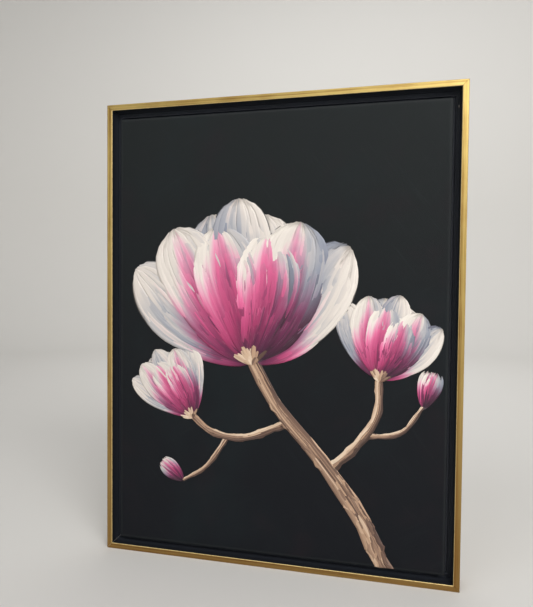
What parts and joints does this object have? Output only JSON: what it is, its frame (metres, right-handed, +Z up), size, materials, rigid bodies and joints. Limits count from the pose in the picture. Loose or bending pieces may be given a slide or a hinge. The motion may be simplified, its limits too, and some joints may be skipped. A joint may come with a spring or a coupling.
{
  "type": "framed canvas painting",
  "caption": "Upright painted canvas on a mitred wooden stretcher, set in a deep floater frame with a thin gold lip, with ring hangers behind.",
  "frame": {"origin": "middle of the back face of the frame's top rail, the face that lies against the wall", "axes": "+Z up along the picture's height, +Y back into the wall, +X to the right as the picture is looked at"},
  "size_m": [0.4922, 0.041, 0.6446],
  "materials": {
    "gold_moulding": "satin gold paint on the lip and outside, matt black in the recess, bare wood behind",
    "painted_canvas": "primed cotton canvas with a charcoal ground and brushed paint",
    "stretcher_wood": "bare planed pine",
    "key_wood": "bare beech plywood",
    "zinc_steel": "zinc plated",
    "nickel_steel": "nickel plated wire",
    "grey_rubber": "soft satin"
  },
  "bodies": {
    "picture": {"frame_top": "gold_moulding", "frame_right": "gold_moulding", "frame_bottom": "gold_moulding", "frame_left": "gold_moulding", "canvas": "painted_canvas", "bar_top": "stretcher_wood", "bar_right": "stretcher_wood", "bar_bottom": "stretcher_wood", "bar_left": "stretcher_wood", "key_top_left_flat": "key_wood", "key_top_left_upright": "key_wood", "key_top_right_flat": "key_wood", "key_top_right_upright": "key_wood", "key_bottom_left_flat": "key_wood", "key_bottom_left_upright": "key_wood", "key_bottom_right_flat": "key_wood", "key_bottom_right_upright": "key_wood", "screw_top_a": "zinc_steel", "screw_top_b": "zinc_steel", "screw_bottom_a": "zinc_steel", "screw_bottom_b": "zinc_steel", "screw_left_a": "zinc_steel", "screw_left_b": "zinc_steel", "screw_right_a": "zinc_steel", "screw_right_b": "zinc_steel", "strap_left": "zinc_steel", "strap_right": "zinc_steel", "strap_screw_left": "zinc_steel", "strap_screw_right": "zinc_steel", "bumper_left": "grey_rubber", "bumper_right": "grey_rubber"},
    "left_hanger_ring": {"ring_left": "nickel_steel"},
    "right_hanger_ring": {"ring_right": "nickel_steel"}
  },
  "joints": [
    {"name": "left_ring_swing", "type": "hinge", "parent": "picture", "child": "left_hanger_ring", "pos_m": [-0.1931, -0.0093, -0.155], "axis": [0, 0, 1], "range_deg": [0, 135]},
    {"name": "right_ring_swing", "type": "hinge", "parent": "picture", "child": "right_hanger_ring", "pos_m": [0.1931, -0.0093, -0.155], "axis": [0, 0, -1], "range_deg": [0, 135]}
  ]
}
